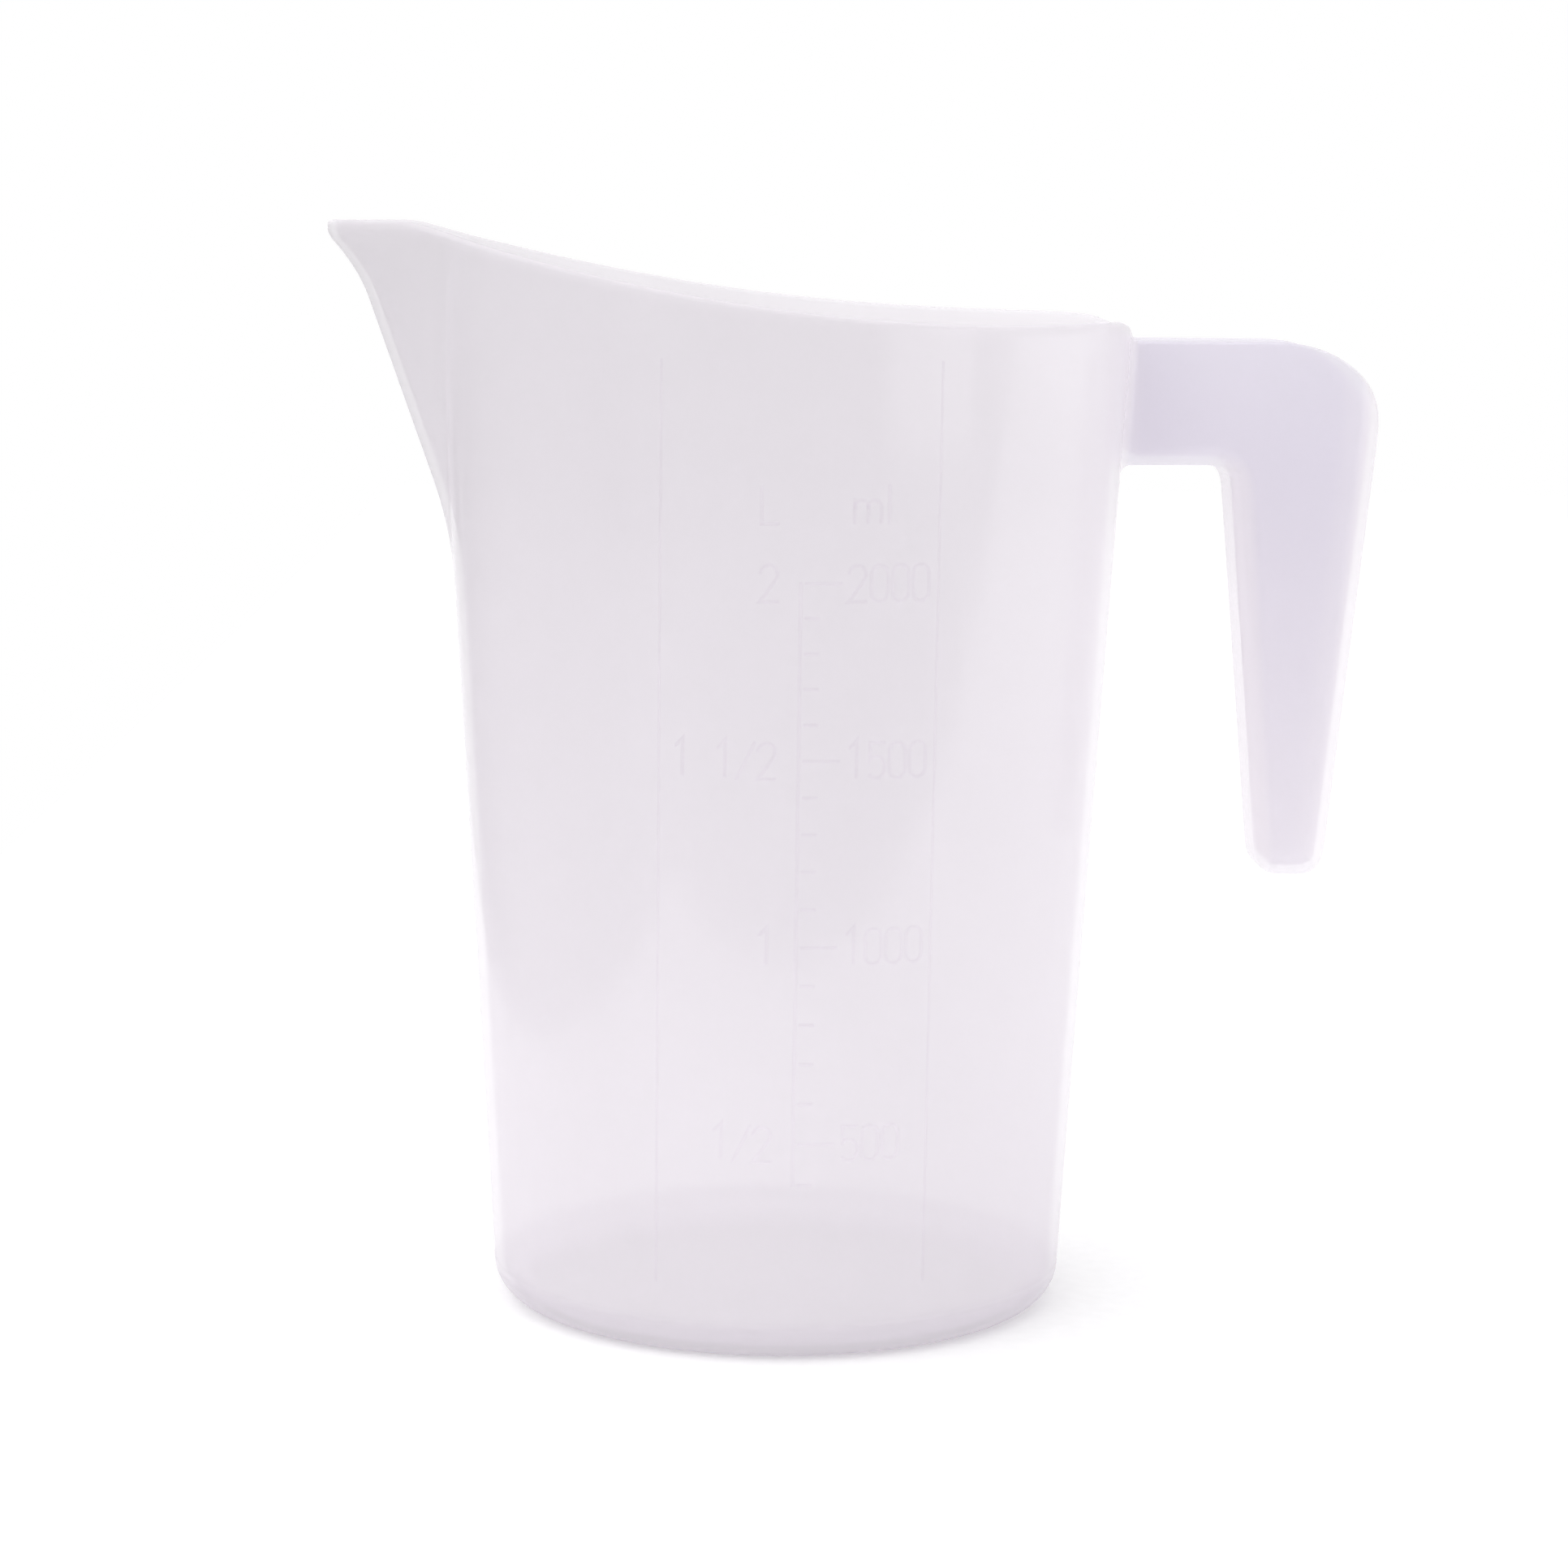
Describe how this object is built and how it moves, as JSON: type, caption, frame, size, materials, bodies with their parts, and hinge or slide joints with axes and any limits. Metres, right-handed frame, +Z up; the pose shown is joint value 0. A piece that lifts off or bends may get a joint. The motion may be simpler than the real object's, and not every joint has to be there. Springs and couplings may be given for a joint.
{
  "type": "graduated measuring jug",
  "caption": "Tapered translucent plastic measuring jug with a beak spout, a swept-up rim, an open-ended hollow handle and a raised scale.",
  "frame": {"origin": "centre of the flat underside, on the vessel's axis, level with the surface that the jug stands on", "axes": "+Z up along the vessel's axis; the spout points to -X, the handle to +X and the scale faces -Y"},
  "size_m": [0.2214, 0.1462, 0.2295],
  "materials": {
    "vessel_plastic": "satin translucent polypropylene, natural milky white",
    "handle_plastic": "satin translucent polypropylene, faintly lilac where two walls overlap",
    "raised_marks": "same moulding, raised lines and figures"
  },
  "bodies": {
    "root": {"vessel_floor": "vessel_plastic", "heel_ring": "vessel_plastic", "vessel_wall": "vessel_plastic", "pouring_spout": "vessel_plastic", "rim_edge": "vessel_plastic", "handle_arm": "handle_plastic", "handle_grip": "handle_plastic", "handle_end": "handle_plastic", "scale_line": "raised_marks", "graduation_0400": "raised_marks", "graduation_0500": "raised_marks", "graduation_0600": "raised_marks", "graduation_0700": "raised_marks", "graduation_0800": "raised_marks", "graduation_0900": "raised_marks", "graduation_1000": "raised_marks", "graduation_1100": "raised_marks", "graduation_1200": "raised_marks", "graduation_1300": "raised_marks", "graduation_1400": "raised_marks", "graduation_1500": "raised_marks", "graduation_1600": "raised_marks", "graduation_1700": "raised_marks", "graduation_1800": "raised_marks", "graduation_1900": "raised_marks", "graduation_2000": "raised_marks", "numeral_500_1": "raised_marks", "numeral_500_2": "raised_marks", "numeral_500_3": "raised_marks", "litres_for_500_1": "raised_marks", "litres_for_500_2": "raised_marks", "litres_for_500_3": "raised_marks", "numeral_1000_1": "raised_marks", "numeral_1000_2": "raised_marks", "numeral_1000_3": "raised_marks", "numeral_1000_4": "raised_marks", "litres_for_1000_1": "raised_marks", "numeral_1500_1": "raised_marks", "numeral_1500_2": "raised_marks", "numeral_1500_3": "raised_marks", "numeral_1500_4": "raised_marks", "litres_for_1500_1": "raised_marks", "litres_for_1500_3": "raised_marks", "litres_for_1500_4": "raised_marks", "litres_for_1500_5": "raised_marks", "numeral_2000_1": "raised_marks", "numeral_2000_2": "raised_marks", "numeral_2000_3": "raised_marks", "numeral_2000_4": "raised_marks", "litres_for_2000_1": "raised_marks", "unit_millilitre_1": "raised_marks", "unit_millilitre_2": "raised_marks", "unit_litre_1": "raised_marks", "panel_line_left": "raised_marks", "panel_line_right": "raised_marks"}
  },
  "joints": []
}
